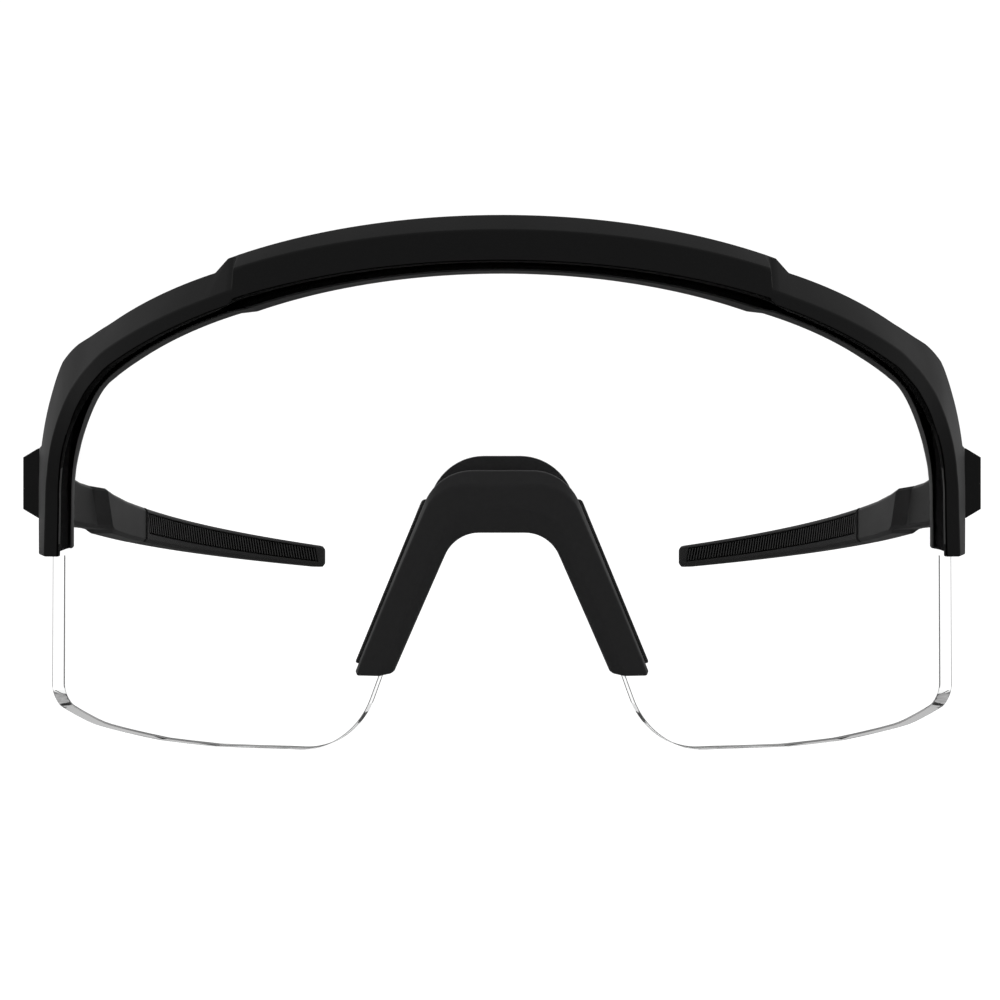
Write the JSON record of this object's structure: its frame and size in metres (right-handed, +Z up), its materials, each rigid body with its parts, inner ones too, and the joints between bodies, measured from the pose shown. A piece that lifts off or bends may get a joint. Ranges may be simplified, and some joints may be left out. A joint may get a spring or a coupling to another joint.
{
  "type": "wraparound sport sunglasses",
  "caption": "Wraparound sport glasses: a clear one-piece shield lens under a half-rim brow frame, a two-layer nose bridge with soft pads, and folding temples with ribbed ear grips.",
  "frame": {"origin": "middle of the part's footprint, at the height of the lens's lower edge", "axes": "+X to the wearer's left, +Y from the front of the lens back to the ear tips, +Z up"},
  "size_m": [0.1406, 0.1676, 0.0645],
  "materials": {
    "frame_plastic": "fine matte moulded black",
    "clear_lens": "clear polished polycarbonate",
    "bridge_plastic": "satin moulded black",
    "soft_rubber": "soft-touch black",
    "grip_rubber": "ribbed black",
    "screw_steel": "plain stainless",
    "insert_brass": "turned",
    "washer_nylon": "natural nylon"
  },
  "bodies": {
    "front": {"brow_frame": "frame_plastic", "shield_lens": "clear_lens", "nose_bridge_front": "bridge_plastic", "nose_bridge_rear": "bridge_plastic", "nose_pad_left": "soft_rubber", "nose_pad_right": "soft_rubber", "hinge_screw_left": "screw_steel", "hinge_screw_right": "screw_steel", "hinge_insert_left": "insert_brass", "hinge_insert_right": "insert_brass", "hinge_washer_lower_left": "washer_nylon", "hinge_washer_lower_right": "washer_nylon", "hinge_washer_upper_left": "washer_nylon", "hinge_washer_upper_right": "washer_nylon"},
    "left_temple": {"temple_arm_left": "frame_plastic", "temple_sleeve_left": "soft_rubber", "ear_grip_left": "grip_rubber", "temple_core_left": "screw_steel"},
    "right_temple": {"temple_arm_right": "frame_plastic", "temple_sleeve_right": "soft_rubber", "ear_grip_right": "grip_rubber", "temple_core_right": "screw_steel"}
  },
  "joints": [
    {"name": "left_temple_hinge", "type": "hinge", "parent": "front", "child": "left_temple", "pos_m": [0.0654, -0.03922, 0.03305], "axis": [0, 0, 1], "range_deg": [0, 82]},
    {"name": "right_temple_hinge", "type": "hinge", "parent": "front", "child": "right_temple", "pos_m": [-0.0654, -0.03922, 0.03305], "axis": [0, 0, -1], "range_deg": [0, 75]}
  ]
}
